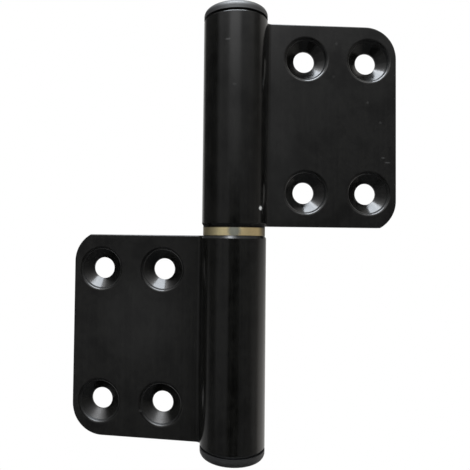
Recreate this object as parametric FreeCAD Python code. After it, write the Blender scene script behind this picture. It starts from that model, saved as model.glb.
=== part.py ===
import FreeCAD, Part
import math
import os

# Lift off flag hinge: two identical leaves, one turned over, on an upright pin.
# The pin axis is Z, X runs along the leaves and the screw faces look along -Y.
# The origin is the centre of the lower cap's flat end.

# Knuckles
knuckle_diameter = 16.0
knuckle_length = 51.8
knuckle_chamfer_height = 0.6
knuckle_chamfer_inset = 0.35

# Leaves, as long as their knuckles
leaf_reach = 41.8  # pin axis to outer edge
leaf_thickness = 3.0
leaf_setback = 0.5  # screw face behind the pin axis
leaf_corner_radius = 8.0
leaf_corner_overrun = 1.0  # the corner's circle runs this far past the mating end
leaf_edge_round = 0.3
leaf_root_fillet = 1.2
leaf_fold = 12.0  # bend away from flat when the hinge lies on its back

# Screw holes
screw_bore_diameter = 5.5
countersink_diameter = 10.0  # wide end of the cone
countersink_angle = 104.0
countersink_lip_height = 0.35  # steep lip between the cone and the rounded rim
countersink_lip_flare = 0.2
countersink_rim_round = 0.8
screw_root_distance = 18.25  # pin axis to inner column
screw_edge_distance = 7.25  # outer column to the leaf's outer edge
screw_end_distance = 8.8  # rows to the leaf's two ends

# Pin
pin_diameter = 10.0
pin_bottom_gap = 1.0  # air between the lower cap's stem and the pin
pin_top_gap = 5.5  # air between the pin's free end and the upper cap's stem
pin_running_clearance = 0.05  # radial
pin_lead_length = 4.0
pin_lead_inset = 1.0
pin_end_chamfer = 0.5

# Bearing washer
washer_thickness = 2.4
washer_diameter = 15.4  # nearly flush with the chamfered ends of the knuckles
washer_chamfer = 0.1

# End caps
cap_rim_thickness = 2.4
cap_rim_diameter = 16.0
cap_edge_round = 1.5
cap_neck_diameter = 14.6
cap_neck_height = 0.15  # open slot between the knuckle's end and the rim
cap_stem_length = 6.0
cap_stem_chamfer = 0.6

cut_margin = 1.0

# Heights
lower_start = cap_rim_thickness
lower_end = lower_start + knuckle_length
upper_start = lower_end + washer_thickness
upper_end = upper_start + knuckle_length
overall_height = upper_end + cap_rim_thickness
middle_height = (lower_end + upper_start) / 2

# Radii
knuckle_radius = knuckle_diameter / 2
pin_radius = pin_diameter / 2
running_bore_radius = pin_radius + pin_running_clearance

UP = FreeCAD.Vector(0, 0, 1)
BACK = FreeCAD.Vector(0, 1, 0)
ORIGIN = FreeCAD.Vector(0, 0, 0)
FULL_TURN = 360.0


def line(start, end):
    return Part.LineSegment(start, end).toShape()


def arc(start, middle, end):
    return Part.Arc(start, middle, end).toShape()


def revolved(points):
    """A turned solid about Z from a closed outline of radius and height pairs."""
    corners = [FreeCAD.Vector(radius, 0, height) for radius, height in points]
    outline = Part.makePolygon(corners + [corners[0]])
    return Part.Face(outline).revolve(ORIGIN, UP, FULL_TURN)


def knuckle():
    """The round barrel of one leaf, standing on Z = 0, with both ends chamfered."""
    inner = knuckle_radius - knuckle_chamfer_inset
    return revolved([
        (0, 0),
        (inner, 0),
        (knuckle_radius, knuckle_chamfer_height),
        (knuckle_radius, knuckle_length - knuckle_chamfer_height),
        (inner, knuckle_length),
        (0, knuckle_length),
    ])


def root_arc(face_depth, side):
    """The fillet between the barrel and one leaf face, in the XY plane.

    Side is -1 on the screw face and 1 on the back. The arc runs from the barrel to the leaf.
    """
    centre_y = face_depth + side * leaf_root_fillet
    centre_distance = knuckle_radius + leaf_root_fillet
    centre_x = math.sqrt(centre_distance ** 2 - centre_y ** 2)
    centre = FreeCAD.Vector(centre_x, centre_y, 0)
    on_barrel = centre * (knuckle_radius / centre_distance)
    on_leaf = FreeCAD.Vector(centre_x, face_depth, 0)
    inward = (on_barrel + on_leaf) * 0.5 - centre
    middle = centre + inward * (leaf_root_fillet / inward.Length)
    return on_barrel, middle, on_leaf


def leaf_section():
    """The leaf's section across the pin axis, with its root fillets, as drawn out of a die."""
    front = leaf_setback
    back = leaf_setback + leaf_thickness
    front_barrel, front_middle, front_leaf = root_arc(front, -1)
    back_barrel, back_middle, back_leaf = root_arc(back, 1)
    front_corner = FreeCAD.Vector(leaf_reach, front, 0)
    back_corner = FreeCAD.Vector(leaf_reach, back, 0)
    return Part.Wire([
        arc(front_barrel, front_middle, front_leaf),
        line(front_leaf, front_corner),
        line(front_corner, back_corner),
        line(back_corner, back_leaf),
        arc(back_leaf, back_middle, back_barrel),
        line(back_barrel, front_barrel),
    ])


def corner_waste(arc_end, direction):
    """What rounding one outer corner takes away.

    Arc_end is the height where the corner's full circle touches, and direction is 1 at the
    leaf's top and -1 at its bottom.
    """
    centre_x = leaf_reach - leaf_corner_radius
    centre_z = arc_end - direction * leaf_corner_radius
    diagonal = leaf_corner_radius / math.sqrt(2)
    outside_x = leaf_reach + cut_margin
    outside_z = arc_end + direction * cut_margin

    def point(x, z):
        return FreeCAD.Vector(x, 0, z)

    outline = Part.Wire([
        arc(
            point(centre_x, arc_end),
            point(centre_x + diagonal, centre_z + direction * diagonal),
            point(leaf_reach, centre_z),
        ),
        line(point(leaf_reach, centre_z), point(outside_x, centre_z)),
        line(point(outside_x, centre_z), point(outside_x, outside_z)),
        line(point(outside_x, outside_z), point(centre_x, outside_z)),
        line(point(centre_x, outside_z), point(centre_x, arc_end)),
    ])
    depth = knuckle_radius + leaf_setback + leaf_thickness
    return Part.Face(outline).extrude(BACK * depth)


def is_perimeter_edge(edge):
    """True for an edge of the leaf's screw face or back that isn't along its root."""
    depths = [vertex.Y for vertex in edge.Vertexes]
    flat = max(depths) - min(depths) < leaf_edge_round / 10
    on_face = flat and any(
        abs(depths[0] - face) < leaf_edge_round / 10
        for face in (leaf_setback, leaf_setback + leaf_thickness)
    )
    reach = max(vertex.X for vertex in edge.Vertexes)
    return on_face and reach > knuckle_radius + 2 * leaf_root_fillet


def leaf_plate():
    """The flat leaf with rounded corners and softened edges, standing on Z = 0.

    Its mating end is at Z = 0, where the corner's circle is cut short.
    """
    plate = Part.Face(leaf_section()).extrude(UP * knuckle_length)
    plate = plate.cut(corner_waste(knuckle_length, 1))
    plate = plate.cut(corner_waste(-leaf_corner_overrun, -1))
    edges = [edge for edge in plate.Edges if is_perimeter_edge(edge)]
    return plate.makeFillet(leaf_edge_round, edges)


def screw_cutter():
    """The bore and the countersink of one screw hole, with the mouth at the screw face.

    From the bore outwards the outline is the cone, the steep lip and the rounded rim.
    """
    half_angle = math.radians(countersink_angle / 2)
    bore_radius = screw_bore_diameter / 2
    cone_radius = countersink_diameter / 2
    lip_radius = cone_radius + countersink_lip_flare
    rim_turn = math.atan2(countersink_lip_height, countersink_lip_flare)
    rim_depth = countersink_rim_round * (1 - math.cos(rim_turn))
    mouth_radius = lip_radius + countersink_rim_round * math.sin(rim_turn)
    middle_x = mouth_radius - countersink_rim_round * math.sin(rim_turn / 2)
    middle_z = countersink_rim_round * (math.cos(rim_turn / 2) - 1)
    cone_top = rim_depth + countersink_lip_height
    cone_bottom = cone_top + (cone_radius - bore_radius) / math.tan(half_angle)
    through = leaf_thickness + cut_margin

    def point(x, z):
        return FreeCAD.Vector(x, 0, z)

    outline = Part.Wire([
        line(point(0, -through), point(bore_radius, -through)),
        line(point(bore_radius, -through), point(bore_radius, -cone_bottom)),
        line(point(bore_radius, -cone_bottom), point(cone_radius, -cone_top)),
        line(point(cone_radius, -cone_top), point(lip_radius, -rim_depth)),
        arc(point(lip_radius, -rim_depth), point(middle_x, middle_z), point(mouth_radius, 0)),
        line(point(mouth_radius, 0), point(mouth_radius, cut_margin)),
        line(point(mouth_radius, cut_margin), point(0, cut_margin)),
        line(point(0, cut_margin), point(0, -through)),
    ])
    cutter = Part.Face(outline).revolve(ORIGIN, UP, FULL_TURN)
    cutter.rotate(ORIGIN, FreeCAD.Vector(1, 0, 0), 90)
    return cutter


def screw_places():
    """Where the screw holes are: two columns of two, on the leaf's screw face."""
    columns = (screw_root_distance, leaf_reach - screw_edge_distance)
    rows = (screw_end_distance, knuckle_length - screw_end_distance)
    return [FreeCAD.Vector(x, leaf_setback, z) for x in columns for z in rows]


def leaf(bore_radius):
    """One leaf with its knuckle: mating end at Z = 0, leaf along +X, screw face towards -Y."""
    body = knuckle().fuse(leaf_plate())
    bore = Part.makeCylinder(
        bore_radius,
        knuckle_length + 2 * cut_margin,
        ORIGIN - UP * cut_margin,
    )
    body = body.cut(bore)
    for place in screw_places():
        cutter = screw_cutter()
        cutter.translate(place)
        body = body.cut(cutter)
    return body.removeSplitter()


def lower_leaf():
    """The fixed leaf, turned over so that it points along -X, with the pin pressed into it."""
    body = leaf(pin_radius)
    body.rotate(ORIGIN, BACK, 180)
    body.translate(UP * lower_end)
    return body


def upper_leaf():
    """The leaf that lifts off, bent back from flat by the fold angle."""
    body = leaf(running_bore_radius)
    body.rotate(ORIGIN, UP, leaf_fold)
    body.translate(UP * upper_start)
    return body


def hinge_pin():
    """The pin, pressed into the lower knuckle, with a tapered free end for lifting on."""
    bottom = lower_start + cap_stem_length + pin_bottom_gap
    top = upper_end - cap_stem_length - pin_top_gap
    return revolved([
        (0, bottom),
        (pin_radius - pin_end_chamfer, bottom),
        (pin_radius, bottom + pin_end_chamfer),
        (pin_radius, top - pin_lead_length),
        (pin_radius - pin_lead_inset, top - pin_end_chamfer),
        (pin_radius - pin_lead_inset - pin_end_chamfer, top),
        (0, top),
    ])


def bearing_washer():
    """The loose ring that carries the upper knuckle on the lower one."""
    outer = washer_diameter / 2
    return revolved([
        (running_bore_radius + washer_chamfer, lower_end),
        (outer - washer_chamfer, lower_end),
        (outer, lower_end + washer_chamfer),
        (outer, upper_start - washer_chamfer),
        (outer - washer_chamfer, upper_start),
        (running_bore_radius + washer_chamfer, upper_start),
        (running_bore_radius, upper_start - washer_chamfer),
        (running_bore_radius, lower_end + washer_chamfer),
    ])


def end_cap(bore_radius):
    """A plug cap with its seat at Z = 0, its neck and rim above and its stem below."""
    neck_radius = cap_neck_diameter / 2
    rim_radius = cap_rim_diameter / 2
    flat_radius = rim_radius - cap_edge_round
    round_middle = cap_edge_round / math.sqrt(2)
    round_start = cap_rim_thickness - cap_edge_round
    stem_tip = bore_radius - cap_stem_chamfer

    def point(x, z):
        return FreeCAD.Vector(x, 0, z)

    outline = Part.Wire([
        line(point(0, -cap_stem_length), point(stem_tip, -cap_stem_length)),
        line(point(stem_tip, -cap_stem_length), point(bore_radius, cap_stem_chamfer - cap_stem_length)),
        line(point(bore_radius, cap_stem_chamfer - cap_stem_length), point(bore_radius, 0)),
        line(point(bore_radius, 0), point(neck_radius, 0)),
        line(point(neck_radius, 0), point(neck_radius, cap_neck_height)),
        line(point(neck_radius, cap_neck_height), point(rim_radius, cap_neck_height)),
        line(point(rim_radius, cap_neck_height), point(rim_radius, round_start)),
        arc(
            point(rim_radius, round_start),
            point(flat_radius + round_middle, round_start + round_middle),
            point(flat_radius, cap_rim_thickness),
        ),
        line(point(flat_radius, cap_rim_thickness), point(0, cap_rim_thickness)),
        line(point(0, cap_rim_thickness), point(0, -cap_stem_length)),
    ])
    return Part.Face(outline).revolve(ORIGIN, UP, FULL_TURN)


def lower_cap():
    body = end_cap(pin_radius)
    body.rotate(ORIGIN, BACK, 180)
    body.translate(UP * lower_start)
    return body


def upper_cap():
    body = end_cap(running_bore_radius)
    body.translate(UP * upper_end)
    return body


os.makedirs("parts", exist_ok=True)
nodes = {
    "lower_leaf": lower_leaf(),
    "hinge_pin": hinge_pin(),
    "lower_cap": lower_cap(),
    "bearing_washer": bearing_washer(),
    "upper_leaf": upper_leaf(),
    "upper_cap": upper_cap(),
}
for name, shape in nodes.items():
    shape.exportStep(os.path.join("parts", name + ".step"))
    print(name, len(shape.Solids), "solid", round(shape.Volume, 2), "mm3, valid", shape.isValid())
print("height", round(overall_height, 2), "washer at", round(middle_height, 2))
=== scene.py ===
import math

import bmesh
import bpy
from mathutils import Euler, Matrix, Vector

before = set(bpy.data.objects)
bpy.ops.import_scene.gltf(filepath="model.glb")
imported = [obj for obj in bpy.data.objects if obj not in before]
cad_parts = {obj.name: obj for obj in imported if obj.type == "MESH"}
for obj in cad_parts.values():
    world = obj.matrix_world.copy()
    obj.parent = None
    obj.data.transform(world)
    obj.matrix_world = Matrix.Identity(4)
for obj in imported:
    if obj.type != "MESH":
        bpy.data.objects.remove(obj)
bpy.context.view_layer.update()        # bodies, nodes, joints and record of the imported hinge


# Camera

cameraView = {
    "place": (0.0108277, -0.1273997, 0.0538267),
    "turn": (91.7308, -0.6599, 8.7662),   # degrees about X, Y and Z
    "lens": 39.0747,
    "sensor": 36.0,
    "shiftX": 0.0766,
    "shiftY": -0.0287,
    "nearClip": 0.005,
    "farClip": 20.0,
}


def placeCamera():
    data = bpy.data.cameras.new("camera")
    data.lens = cameraView["lens"]
    data.sensor_width = cameraView["sensor"]
    data.sensor_fit = "HORIZONTAL"
    data.shift_x = cameraView["shiftX"]
    data.shift_y = cameraView["shiftY"]
    data.clip_start = cameraView["nearClip"]
    data.clip_end = cameraView["farClip"]
    camera = bpy.data.objects.new("camera", data)
    camera.location = cameraView["place"]
    camera.rotation_euler = Euler([math.radians(angle) for angle in cameraView["turn"]])
    bpy.context.scene.collection.objects.link(camera)
    bpy.context.scene.camera = camera


# Node helpers

white = (1.0, 1.0, 1.0, 1.0)


def feed(tree, socket, value):
    if isinstance(value, bpy.types.NodeSocket):
        tree.links.new(value, socket)
    else:
        socket.default_value = value


def addNode(tree, kind, inputs=None, **settings):
    node = tree.nodes.new(kind)
    for name, value in settings.items():
        setattr(node, name, value)
    for key, value in (inputs or {}).items():
        feed(tree, node.inputs[key], value)
    return node


def mathNode(tree, operation, first, second=0.0):
    return addNode(tree, "ShaderNodeMath", {0: first, 1: second}, operation=operation).outputs[0]


def vectorMath(tree, operation, first, second=(0.0, 0.0, 0.0)):
    return addNode(tree, "ShaderNodeVectorMath", {0: first, 1: second}, operation=operation).outputs[0]


def vectorLength(tree, vector):
    return addNode(tree, "ShaderNodeVectorMath", {0: vector}, operation="LENGTH").outputs["Value"]


def distanceFromAxis(tree, parts):
    flat = addNode(tree, "ShaderNodeCombineXYZ", {0: parts["X"], 1: parts["Y"]})
    return vectorLength(tree, flat.outputs[0])


def mapRange(tree, value, fromMin, fromMax, toMin, toMax, smooth=False):
    inputs = {0: value, 1: fromMin, 2: fromMax, 3: toMin, 4: toMax}
    kind = "SMOOTHSTEP" if smooth else "LINEAR"
    return addNode(tree, "ShaderNodeMapRange", inputs, interpolation_type=kind).outputs[0]


def mixColour(tree, factor, first, second, blend="MIX"):
    inputs = {0: factor, 6: first, 7: second}
    node = addNode(tree, "ShaderNodeMix", inputs, data_type="RGBA", blend_type=blend)
    return node.outputs[2]


def mixValue(tree, factor, first, second):
    return addNode(tree, "ShaderNodeMix", {0: factor, 2: first, 3: second}).outputs[0]


def noise(tree, vector, scale, detail=2.0, roughness=0.5):
    inputs = {"Vector": vector, "Scale": scale, "Detail": detail, "Roughness": roughness}
    return addNode(tree, "ShaderNodeTexNoise", inputs).outputs["Fac"]


def ramp(tree, value, stops):
    node = addNode(tree, "ShaderNodeValToRGB", {0: value})
    points = node.color_ramp.elements
    while len(points) < len(stops):
        points.new(0.5)
    for point, (place, colour) in zip(points, stops):
        point.position = place
        point.color = colour
    return node.outputs[0]


# World: the room that the black coat mirrors. Each wall gives its light level at heights in
# degrees above the horizon. Degrees round from the front are positive to the right.

room = {
    "walls": {
        "back": ((-90, 0.60), (90, 0.60)),
        "leftEnd": ((-30, 0.46), (-18, 0.34), (-6, 0.18), (2, 0.06), (18, 0.06), (28, 0.12), (54, 0.60)),
        "left": ((-30, 0.10), (-12, 0.07), (0, 0.06), (24, 0.06), (40, 0.30), (54, 0.90), (64, 0.50)),
        "frontLeft": ((-30, 0.17), (-20, 0.17), (-10, 0.28), (0, 0.21), (6, 0.29), (12, 0.31), (18, 0.33),
                      (25, 0.60), (36, 0.90), (46, 1.90), (54, 4.50), (60, 4.50), (66, 0.80)),
        "front": ((-30, 0.11), (-20, 0.15), (-10, 0.28), (0, 0.22), (6, 0.28), (12, 0.52), (18, 0.52),
                  (25, 1.90), (36, 1.40), (46, 2.20), (54, 5.00), (60, 5.00), (66, 1.00)),
        "frontRight": ((-30, 0.10), (-18, 0.14), (0, 0.16), (6, 0.22), (18, 0.32), (25, 0.55), (36, 0.90),
                       (46, 1.60), (54, 4.00), (62, 0.70)),
        "right": ((-30, 0.30), (-12, 0.30), (-4, 0.22), (8, 0.20), (16, 0.14), (26, 0.16), (40, 0.40),
                  (54, 0.80)),
        "rightEnd": ((-30, 0.82), (-14, 0.74), (0, 0.40), (10, 0.18), (18, 0.28), (26, 0.72), (54, 0.60)),
    },
    "corners": (   # degrees round, half the width of the blend, and the wall that starts there
        (-136, 10, "leftEnd"),
        (-90, 12, "left"),
        (-58, 8, "frontLeft"),
        (-17, 9, "front"),
        (22, 9, "frontRight"),
        (74, 14, "right"),
        (104, 10, "rightEnd"),
        (162, 12, "back"),
    ),
    "peak": 5.0,          # the brightest level on a wall
    "tint": ((-180, (1.0, 0.99, 0.97, 1.0)), (-60, (0.99, 0.99, 1.0, 1.0)), (40, (0.99, 0.99, 1.0, 1.0)),
             (100, (1.0, 0.96, 0.91, 1.0)), (180, (1.0, 0.99, 0.97, 1.0))),
}


def wallLevels(tree, rise, stops):
    grey = [((degrees + 90.0) / 180.0, (level / room["peak"],) * 3 + (1.0,)) for degrees, level in stops]
    return ramp(tree, rise, grey)


def makeWorld():
    world = bpy.data.worlds.new("room")
    world.use_nodes = True
    tree = world.node_tree
    tree.nodes.clear()
    direction = addNode(tree, "ShaderNodeTexCoord").outputs["Generated"]
    parts = addNode(tree, "ShaderNodeSeparateXYZ", {0: direction})
    front = mathNode(tree, "MULTIPLY", parts.outputs["Y"], -1.0)
    turn = mathNode(tree, "ARCTAN2", parts.outputs["X"], front)
    around = mathNode(tree, "DEGREES", turn)
    height = mathNode(tree, "ARCSINE", parts.outputs["Z"])
    rise = mapRange(tree, height, -math.pi / 2, math.pi / 2, 0.0, 1.0)
    levels = {name: wallLevels(tree, rise, stops) for name, stops in room["walls"].items()}
    level = levels["back"]
    for angle, blend, name in room["corners"]:
        share = mapRange(tree, around, angle - blend, angle + blend, 0.0, 1.0, True)
        level = mixColour(tree, share, level, levels[name])
    tintStops = [((angle + 180.0) / 360.0, colour) for angle, colour in room["tint"]]
    tint = ramp(tree, mapRange(tree, around, -180.0, 180.0, 0.0, 1.0), tintStops)
    tinted = mixColour(tree, 1.0, level, tint, "MULTIPLY")
    seen = addNode(tree, "ShaderNodeLightPath").outputs["Is Camera Ray"]
    strength = mixValue(tree, seen, room["peak"], 1.0)
    shown = mixColour(tree, seen, tinted, white)
    background = addNode(tree, "ShaderNodeBackground", {"Color": shown, "Strength": strength})
    output = addNode(tree, "ShaderNodeOutputWorld")
    tree.links.new(background.outputs[0], output.inputs[0])
    bpy.context.scene.world = world


# The window, high in front

lamps = {
    "window": {
        "place": (0.0, -0.155, 0.60),
        "aim": (0.0, 0.0, 0.055),
        "size": (0.40, 0.34),
        "colour": (0.87, 0.93, 1.0),
        "power": 5.6,
    },
}


def addLamp(name, values):
    data = bpy.data.lights.new(name, "AREA")
    data.shape = "RECTANGLE"
    data.size, data.size_y = values["size"]
    data.color = values["colour"]
    data.energy = values["power"]
    lamp = bpy.data.objects.new(name, data)
    lamp.location = values["place"]
    towards = Vector(values["aim"]) - Vector(values["place"])
    lamp.rotation_euler = towards.to_track_quat("-Z", "Y").to_euler()
    bpy.context.scene.collection.objects.link(lamp)


# A dark card in front of the pin, low down: both barrels mirror it as a dark stripe

darkCard = {
    "distance": 0.135,    # in front of the pin axis
    "left": -0.029,
    "right": 0.064,
    "bottom": -0.125,
    "top": 0.090,
    "level": 0.03,
    "fadeFrom": 0.058,    # above this height the card fades to the level of the wall behind it
    "topLevel": 0.26,
}


def makeDarkCard():
    mesh = bpy.data.meshes.new("darkCard")
    card = bmesh.new()
    bmesh.ops.create_grid(card, x_segments=1, y_segments=1, size=0.5)
    wide = darkCard["right"] - darkCard["left"]
    tall = darkCard["top"] - darkCard["bottom"]
    bmesh.ops.scale(card, verts=card.verts, vec=(wide, tall, 1.0))
    bmesh.ops.rotate(card, verts=card.verts, matrix=Matrix.Rotation(math.radians(-90), 3, "X"))
    middle = ((darkCard["left"] + darkCard["right"]) / 2, -darkCard["distance"],
              (darkCard["bottom"] + darkCard["top"]) / 2)
    bmesh.ops.translate(card, verts=card.verts, vec=middle)
    card.to_mesh(mesh)
    card.free()
    plate = bpy.data.objects.new("darkCard", mesh)
    bpy.context.scene.collection.objects.link(plate)
    material = bpy.data.materials.new("darkCard")
    material.use_nodes = True
    tree = material.node_tree
    tree.nodes.clear()
    place = addNode(tree, "ShaderNodeTexCoord").outputs["Object"]
    height = addNode(tree, "ShaderNodeSeparateXYZ", {0: place}).outputs["Z"]
    level = mapRange(
        tree, height, darkCard["fadeFrom"], darkCard["top"], darkCard["level"], darkCard["topLevel"], True
    )
    glow = addNode(tree, "ShaderNodeEmission", {"Color": white, "Strength": level})
    output = addNode(tree, "ShaderNodeOutputMaterial")
    tree.links.new(glow.outputs[0], output.inputs[0])
    mesh.materials.append(material)
    plate.visible_camera = False
    plate.visible_diffuse = False
    plate.visible_shadow = False


# Floor

floorPlate = {
    "radius": 0.30,
    "segments": 96,
    "drop": 0.13,         # below the lower cap
    "colour": (0.80, 0.80, 0.79, 1.0),
    "mirrored": (0.055, 0.055, 0.055, 1.0),   # what the coat sees of the floor in front
    "mirroredBack": (0.40, 0.39, 0.38, 1.0),  # and of the floor beside and behind it
    "backFrom": 0.02,     # how far behind the pin the floor turns lighter
    "backTo": 0.16,
    "whiteFrom": 0.12,    # distances from the middle where the floor fades to white
    "whiteTo": 0.28,
}


def makeFloor():
    mesh = bpy.data.meshes.new("floor")
    plate = bmesh.new()
    bmesh.ops.create_circle(plate, cap_ends=True, segments=floorPlate["segments"],
                             radius=floorPlate["radius"])
    bmesh.ops.translate(plate, verts=plate.verts, vec=(0.0, 0.0, -floorPlate["drop"]))
    plate.to_mesh(mesh)
    plate.free()
    floor = bpy.data.objects.new("floor", mesh)
    bpy.context.scene.collection.objects.link(floor)
    material = bpy.data.materials.new("paleFloor")
    material.use_nodes = True
    tree = material.node_tree
    tree.nodes.clear()
    place = addNode(tree, "ShaderNodeTexCoord").outputs["Object"]
    parts = addNode(tree, "ShaderNodeSeparateXYZ", {0: place})
    path = addNode(tree, "ShaderNodeLightPath")
    backness = mapRange(
        tree, parts.outputs["Y"], floorPlate["backFrom"], floorPlate["backTo"], 0.0, 1.0, True
    )
    mirrored = mixColour(tree, backness, floorPlate["mirrored"], floorPlate["mirroredBack"])
    colour = mixColour(tree, path.outputs["Is Glossy Ray"], floorPlate["colour"], mirrored)
    diffuse = addNode(tree, "ShaderNodeBsdfDiffuse", {"Color": colour})
    distance = distanceFromAxis(tree, parts.outputs)
    fade = mapRange(tree, distance, floorPlate["whiteFrom"], floorPlate["whiteTo"], 0.0, 1.0, True)
    glow = addNode(tree, "ShaderNodeEmission", {"Color": white, "Strength": 1.0})
    share = mathNode(tree, "MULTIPLY", fade, path.outputs["Is Camera Ray"])
    both = addNode(tree, "ShaderNodeMixShader", {0: share, 1: diffuse.outputs[0], 2: glow.outputs[0]})
    output = addNode(tree, "ShaderNodeOutputMaterial")
    tree.links.new(both.outputs[0], output.inputs[0])
    mesh.materials.append(material)


# Surface effects that several finishes share

effects = {
    "grainFrom": 0.35,        # noise levels between which the grain's mask rises
    "grainTo": 0.65,
    "cloudDetail": 3.0,
    "cloudRoughness": 0.6,
    "cloudTop": 0.82,         # noise level from which clouds of no cover start
    "cloudBlend": 0.24,
    "spotNoiseScale": 9000.0,
    "spotFull": 0.6,          # shares of a spot's reach
    "spotGone": 1.1,
}


def newGroup(name, inputs, outputs):
    tree = bpy.data.node_groups.new(name, "ShaderNodeTree")
    for label, kind, value in inputs:
        socket = tree.interface.new_socket(name=label, in_out="INPUT", socket_type=kind)
        socket.default_value = value
    for label, kind in outputs:
        tree.interface.new_socket(name=label, in_out="OUTPUT", socket_type=kind)
    return tree, tree.nodes.new("NodeGroupInput").outputs, tree.nodes.new("NodeGroupOutput").inputs


def makeGrainGroup():
    tree, given, result = newGroup("grain", (
        ("Vector", "NodeSocketVector", (0.0, 0.0, 0.0)),
        ("Stretch", "NodeSocketVector", (1.0, 1.0, 1.0)),
        ("Detail", "NodeSocketFloat", 2.0),
    ), (("Height", "NodeSocketFloat"), ("Mask", "NodeSocketFloat")))
    stretched = addNode(tree, "ShaderNodeMapping", {"Vector": given["Vector"], "Scale": given["Stretch"]})
    lines = noise(tree, stretched.outputs[0], 1.0, given["Detail"])
    feed(tree, result["Height"], lines)
    mask = mapRange(tree, lines, effects["grainFrom"], effects["grainTo"], 0.0, 1.0)
    feed(tree, result["Mask"], mask)
    return tree


def makeCloudGroup():
    tree, given, result = newGroup("cloud", (
        ("Vector", "NodeSocketVector", (0.0, 0.0, 0.0)),
        ("Scale", "NodeSocketFloat", 100.0),
        ("Cover", "NodeSocketFloat", 0.5),
    ), (("Mask", "NodeSocketFloat"),))
    detail, roughness = effects["cloudDetail"], effects["cloudRoughness"]
    broad = noise(tree, given["Vector"], given["Scale"], detail, roughness)
    start = mathNode(tree, "SUBTRACT", effects["cloudTop"], given["Cover"])
    end = mathNode(tree, "ADD", start, effects["cloudBlend"])
    feed(tree, result["Mask"], mapRange(tree, broad, start, end, 0.0, 1.0, True))
    return tree


def makeSpotGroup():
    tree, given, result = newGroup("spot", (
        ("Vector", "NodeSocketVector", (0.0, 0.0, 0.0)),
        ("Centre", "NodeSocketVector", (0.0, 0.0, 0.0)),
        ("Reach", "NodeSocketVector", (0.001, 0.001, 0.001)),
        ("Ragged", "NodeSocketFloat", 0.5),
    ), (("Mask", "NodeSocketFloat"),))
    apart = vectorMath(tree, "SUBTRACT", given["Vector"], given["Centre"])
    distance = vectorLength(tree, vectorMath(tree, "DIVIDE", apart, given["Reach"]))
    edge = noise(tree, given["Vector"], effects["spotNoiseScale"])
    shift = mathNode(tree, "MULTIPLY", mathNode(tree, "SUBTRACT", edge, 0.5), given["Ragged"])
    distance = mathNode(tree, "ADD", distance, shift)
    mask = mapRange(tree, distance, effects["spotFull"], effects["spotGone"], 1.0, 0.0)
    feed(tree, result["Mask"], mask)
    return tree


def placeGroup(tree, group, inputs):
    node = addNode(tree, "ShaderNodeGroup", node_tree=group)
    for key, value in inputs.items():
        feed(tree, node.inputs[key], value)
    return node.outputs


# Finishes

def newFinish(name):
    material = bpy.data.materials.new(name)
    material.use_nodes = True
    tree = material.node_tree
    tree.nodes.clear()
    shader = addNode(tree, "ShaderNodeBsdfPrincipled")
    output = addNode(tree, "ShaderNodeOutputMaterial")
    tree.links.new(shader.outputs[0], output.inputs[0])
    place = addNode(tree, "ShaderNodeTexCoord").outputs["Object"]
    return material, tree, shader, place


def addBump(tree, shader, height, distance, strength):
    bump = addNode(tree, "ShaderNodeBump", {"Height": height, "Distance": distance, "Strength": strength})
    tree.links.new(bump.outputs[0], shader.inputs["Normal"])


coat = {
    "colour": (0.0004, 0.0004, 0.0003, 1.0),
    "pale": (0.0050, 0.0049, 0.0043, 1.0),   # thin places and dust in the clouds
    "bare": (0.60, 0.60, 0.58, 1.0),
    "grainShare": 0.3,        # how much of the pale colour comes from the grain
    "dustShare": 0.7,         # and from the dust
    "leastDust": 0.35,        # the dust's level between the mottles of a cloud
    "cloudScale": 130.0,
    "mottleScale": 900.0,
    "grainStretch": (1500.0, 1500.0, 30.0),
    "peelStretch": (2200.0, 2200.0, 2200.0),
    "roughness": (0.13, 0.18),
    "bumpHeight": 0.000014,
    "bumpStrength": 0.3,
    "coneFrom": 0.00076,      # depths below the screw face between which the cones lie
    "coneTo": 0.0029,
    "coneRoughness": (0.12, 0.18),
    "lipFrom": 0.00028,       # and the steep lips round them, where the coat lies thick and dull
    "lipTo": 0.00076,
    "lipRoughness": 0.46,
    "bandBlend": 0.0001,      # how softly a cone or lip starts
    "shine": 0.5,
    "dulledShine": 0.25,      # of the greasy places beside the washer
    "dulledRoughness": 0.75,
    "nearestHole": 0.0115,    # distance from the pin axis
    "screwFace": 0.0005,      # how far the screw face stands behind the pin axis
}
upperFold = 12.0              # degrees the upper leaf is turned back at rest


# Nicks, specks and, first in each list, a wide pale patch: centre and reach in millimetres, and
# how bare the spot is

lowerMarks = (
    ((-24.5, 0.5, 33.0), (10.5, 6.0, 12.0), 0.0060),
    ((-23.5, 0.5, 9.3), (0.5, 0.5, 0.4), 0.02),
    ((-7.3, -3.2, 21.5), (0.3, 0.5, 0.8), 0.02),
)
upperMarks = (
    ((10.5, 2.8, 70.0), (6.5, 6.0, 18.0), 0.0065),
    ((6.7, -4.36, 60.9), (0.65, 0.65, 0.55), 1.0),
    ((-1.2, -7.9, 101.0), (0.7, 0.5, 0.28), 0.05),
    ((0.5, -7.98, 90.1), (0.6, 0.5, 0.35), 0.02),
    ((37.4, 8.4, 74.6), (0.5, 0.5, 0.25), 0.05),
    ((38.5, 8.7, 73.4), (0.8, 0.6, 0.22), 0.05),
    ((33.4, 7.6, 88.8), (0.35, 0.5, 0.35), 0.03),
    ((36.7, 8.3, 83.7), (0.35, 0.5, 0.35), 0.025),
    ((25.4, 5.9, 103.8), (0.35, 0.5, 0.35), 0.02),
    ((24.7, 5.8, 95.2), (0.35, 0.5, 0.35), 0.015),
)


# Places on the knuckles' chamfers beside the washer that grease has dulled: centre and reach in
# millimetres

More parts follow.
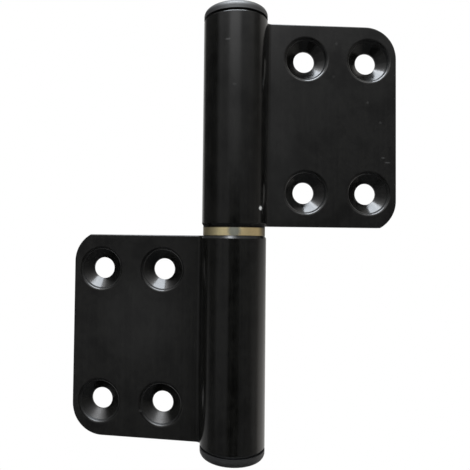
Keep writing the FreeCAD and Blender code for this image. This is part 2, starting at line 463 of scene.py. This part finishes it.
lowerDulled = (
    ((-4.8, -5.6, 53.95), (4.8, 6.5, 0.6)),
    ((3.5, -7.0, 53.95), (3.7, 3.6, 0.6)),
)
upperDulled = (
    ((7.2, -4.2, 56.8), (3.2, 5.0, 0.6)),
    ((-7.6, -2.5, 56.8), (2.5, 5.0, 0.6)),
)


def bandShare(tree, depth, start, end):
    below = mapRange(tree, depth, start - coat["bandBlend"], start, 0.0, 1.0)
    return mathNode(tree, "MULTIPLY", below, mathNode(tree, "LESS_THAN", depth, end))


def sunkenShares(tree, place, fold):
    inputs = {"Vector": place, "Angle": -math.radians(fold)}
    turned = addNode(tree, "ShaderNodeVectorRotate", inputs, rotation_type="Z_AXIS")
    parts = addNode(tree, "ShaderNodeSeparateXYZ", {0: turned.outputs[0]})
    depth = mathNode(tree, "SUBTRACT", parts.outputs["Y"], coat["screwFace"])
    reach = mathNode(tree, "ABSOLUTE", parts.outputs["X"])
    outside = mathNode(tree, "GREATER_THAN", reach, coat["nearestHole"])
    cone = bandShare(tree, depth, coat["coneFrom"], coat["coneTo"])
    lip = bandShare(tree, depth, coat["lipFrom"], coat["lipTo"])
    return mathNode(tree, "MULTIPLY", cone, outside), mathNode(tree, "MULTIPLY", lip, outside)


def coatSpot(tree, place, centre, reach):
    return placeGroup(tree, spotGroup, {
        "Vector": place,
        "Centre": [length / 1000 for length in centre],
        "Reach": [length / 1000 for length in reach],
    })["Mask"]


def makeBlackCoat(name, fold, marks, dulled):
    material, tree, shader, place = newFinish(name)
    cloud = placeGroup(tree, cloudGroup, {"Vector": place, "Scale": coat["cloudScale"]})["Mask"]
    mottle = placeGroup(tree, cloudGroup, {"Vector": place, "Scale": coat["mottleScale"]})["Mask"]
    grain = placeGroup(tree, grainGroup, {"Vector": place, "Stretch": coat["grainStretch"]})
    peel = placeGroup(tree, grainGroup, {"Vector": place, "Stretch": coat["peelStretch"]})
    dust = mapRange(tree, mottle, 0.0, 1.0, coat["leastDust"], 1.0)
    dust = mathNode(tree, "MULTIPLY", mathNode(tree, "MULTIPLY", cloud, dust), coat["dustShare"])
    share = mathNode(tree, "ADD", mathNode(tree, "MULTIPLY", grain["Mask"], coat["grainShare"]), dust)
    colour = mixColour(tree, share, coat["colour"], coat["pale"])
    roughness = mapRange(tree, cloud, 0.0, 1.0, *coat["roughness"])
    inCone = mapRange(tree, mottle, 0.0, 1.0, *coat["coneRoughness"])
    cone, lip = sunkenShares(tree, place, fold)
    roughness = mixValue(tree, cone, roughness, inCone)
    roughness = mixValue(tree, lip, roughness, coat["lipRoughness"])
    shine = coat["shine"]
    for centre, reach in dulled:
        spot = coatSpot(tree, place, centre, reach)
        roughness = mixValue(tree, spot, roughness, coat["dulledRoughness"])
        shine = mixValue(tree, spot, shine, coat["dulledShine"])
    for centre, reach, strength in marks:
        share = mathNode(tree, "MULTIPLY", coatSpot(tree, place, centre, reach), strength)
        colour = mixColour(tree, share, colour, coat["bare"])
    feed(tree, shader.inputs["Base Color"], colour)
    feed(tree, shader.inputs["Roughness"], roughness)
    feed(tree, shader.inputs["Specular IOR Level"], shine)
    height = mathNode(tree, "ADD", peel["Height"], grain["Height"])
    addBump(tree, shader, height, coat["bumpHeight"], coat["bumpStrength"])
    return material


capPlastic = {
    "colour": (0.004, 0.004, 0.0045, 1.0),
    "worn": (0.009, 0.009, 0.009, 1.0),
    "cloudScale": 260.0,
    "stipple": (3200.0, 3200.0, 3200.0),
    "shine": 1.0,
    "roughness": (0.46, 0.56),
    "bumpHeight": 0.00002,
    "bumpStrength": 0.4,
}


def makeCapPlastic():
    material, tree, shader, place = newFinish("capPlastic")
    shader.inputs["Specular IOR Level"].default_value = capPlastic["shine"]
    stipple = placeGroup(tree, grainGroup, {"Vector": place, "Stretch": capPlastic["stipple"]})
    cloud = placeGroup(tree, cloudGroup, {"Vector": place, "Scale": capPlastic["cloudScale"]})["Mask"]
    colour = mixColour(tree, cloud, capPlastic["colour"], capPlastic["worn"])
    roughness = mapRange(tree, stipple["Mask"], 0.0, 1.0, *capPlastic["roughness"])
    feed(tree, shader.inputs["Base Color"], colour)
    feed(tree, shader.inputs["Roughness"], roughness)
    addBump(tree, shader, stipple["Height"], capPlastic["bumpHeight"], capPlastic["bumpStrength"])
    return material


brass = {
    "yellow": (1.0, 0.86, 0.50, 1.0),
    "orange": (0.94, 0.75, 0.41, 1.0),
    # painted reflection of the camera: a grey patch at the washer's front middle
    "grey": (0.38, 0.38, 0.31, 1.0),
    # painted shade: dark brown at the washer's left and right ends
    "paintedEndShade": (0.20, 0.17, 0.12, 1.0),
    # painted shade: a black line across the washer's top rim, under the upper knuckle
    "black": (0.01, 0.01, 0.01, 1.0),
    "dull": 0.86,             # how much darker the stains are
    "orangeSide": (-0.003, 0.003),        # across which the yellow turns to orange, left to right
    "paintedReflectionCentre": (0.0007, -0.0077, 0.0554),
    "paintedReflectionReach": (0.0017, 0.0017, 0.0019),
    "paintedReflectionRagged": 0.9,
    "endShadeLeft": (-0.0030, -0.0085),      # where the painted shade at the washer's ends starts and is full, left and right
    "endShadeRight": (0.0060, 0.0074),
    "paintedShadeFrom": 0.0561,      # heights of the painted shade line under the upper knuckle
    "paintedShadeTo": 0.0563,
    "paintedShadeRim": (0.0070, 0.0074),         # the line keeps to the rim, and the flat top stays brass
    "turning": (60.0, 60.0, 7000.0),
    "turningDetail": 3.0,
    "stainScale": 520.0,
    "roughness": (0.40, 0.52),
    "bumpHeight": 0.00002,
    "bumpStrength": 0.5,
}


def makeBrass():
    material, tree, shader, place = newFinish("washerBrass")
    shader.inputs["Metallic"].default_value = 1.0
    turning = placeGroup(tree, grainGroup, {
        "Vector": place, "Stretch": brass["turning"], "Detail": brass["turningDetail"],
    })
    stain = placeGroup(tree, cloudGroup, {"Vector": place, "Scale": brass["stainScale"]})["Mask"]
    parts = addNode(tree, "ShaderNodeSeparateXYZ", {0: place}).outputs
    side = mapRange(tree, parts["X"], *brass["orangeSide"], 0.0, 1.0)
    tone = mixColour(tree, side, brass["yellow"], brass["orange"])
    # Painted reflection: a grey patch at the front middle of the washer stands for the camera mirrored in
    # the brass.
    middle = placeGroup(tree, spotGroup, {
        "Vector": place,
        "Centre": brass["paintedReflectionCentre"],
        "Reach": brass["paintedReflectionReach"],
        "Ragged": brass["paintedReflectionRagged"],
    })["Mask"]
    tone = mixColour(tree, middle, tone, brass["grey"])
    # Painted shade: the washer turns dark brown towards its left and right ends.
    left = mapRange(tree, parts["X"], *brass["endShadeLeft"], 0.0, 1.0)
    right = mapRange(tree, parts["X"], *brass["endShadeRight"], 0.0, 1.0, True)
    tone = mixColour(tree, mathNode(tree, "MAXIMUM", left, right), tone, brass["paintedEndShade"])
    dull = (brass["dull"],) * 3 + (1.0,)
    tone = mixColour(tree, stain, tone, mixColour(tree, 1.0, tone, dull, "MULTIPLY"))
    # Painted shade under the upper knuckle: the top of the washer's rim turns black.
    rim = mapRange(tree, distanceFromAxis(tree, parts), *brass["paintedShadeRim"], 0.0, 1.0)
    line = mapRange(tree, parts["Z"], brass["paintedShadeFrom"], brass["paintedShadeTo"], 0.0, 1.0)
    line = mathNode(tree, "MULTIPLY", line, rim)
    feed(tree, shader.inputs["Base Color"], mixColour(tree, line, tone, brass["black"]))
    feed(tree, shader.inputs["Roughness"], mapRange(tree, stain, 0.0, 1.0, *brass["roughness"]))
    addBump(tree, shader, turning["Height"], brass["bumpHeight"], brass["bumpStrength"])
    return material


steel = {
    "colour": (0.56, 0.56, 0.57, 1.0),
    "oiled": (0.40, 0.39, 0.37, 1.0),
    "filmScale": 180.0,
    "turning": (40.0, 40.0, 5000.0),
    "turningDetail": 3.0,
    "roughness": (0.18, 0.28),
    "bumpHeight": 0.00001,
    "bumpStrength": 0.2,
}


def makeSteel():
    material, tree, shader, place = newFinish("pinSteel")
    shader.inputs["Metallic"].default_value = 1.0
    turning = placeGroup(tree, grainGroup, {
        "Vector": place, "Stretch": steel["turning"], "Detail": steel["turningDetail"],
    })
    film = placeGroup(tree, cloudGroup, {"Vector": place, "Scale": steel["filmScale"]})["Mask"]
    feed(tree, shader.inputs["Base Color"], mixColour(tree, film, steel["colour"], steel["oiled"]))
    feed(tree, shader.inputs["Roughness"], mapRange(tree, turning["Mask"], 0.0, 1.0, *steel["roughness"]))
    addBump(tree, shader, turning["Height"], steel["bumpHeight"], steel["bumpStrength"])
    return material


def dress(nodeName, material):
    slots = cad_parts[nodeName].data.materials
    for index in range(len(slots)):
        slots[index] = material


# Build

print("camera, room and window")
bpy.context.scene.view_settings.view_transform = "Standard"
placeCamera()
makeWorld()
for lampName, lampValues in lamps.items():
    addLamp(lampName, lampValues)
makeDarkCard()
makeFloor()

print("finishes")
grainGroup = makeGrainGroup()
cloudGroup = makeCloudGroup()
spotGroup = makeSpotGroup()
plastic = makeCapPlastic()
dress("lower_leaf", makeBlackCoat("lowerCoat", 0.0, lowerMarks, lowerDulled))
dress("upper_leaf", makeBlackCoat("upperCoat", upperFold, upperMarks, upperDulled))
dress("lower_cap", plastic)
dress("upper_cap", plastic)
dress("bearing_washer", makeBrass())
dress("hinge_pin", makeSteel())
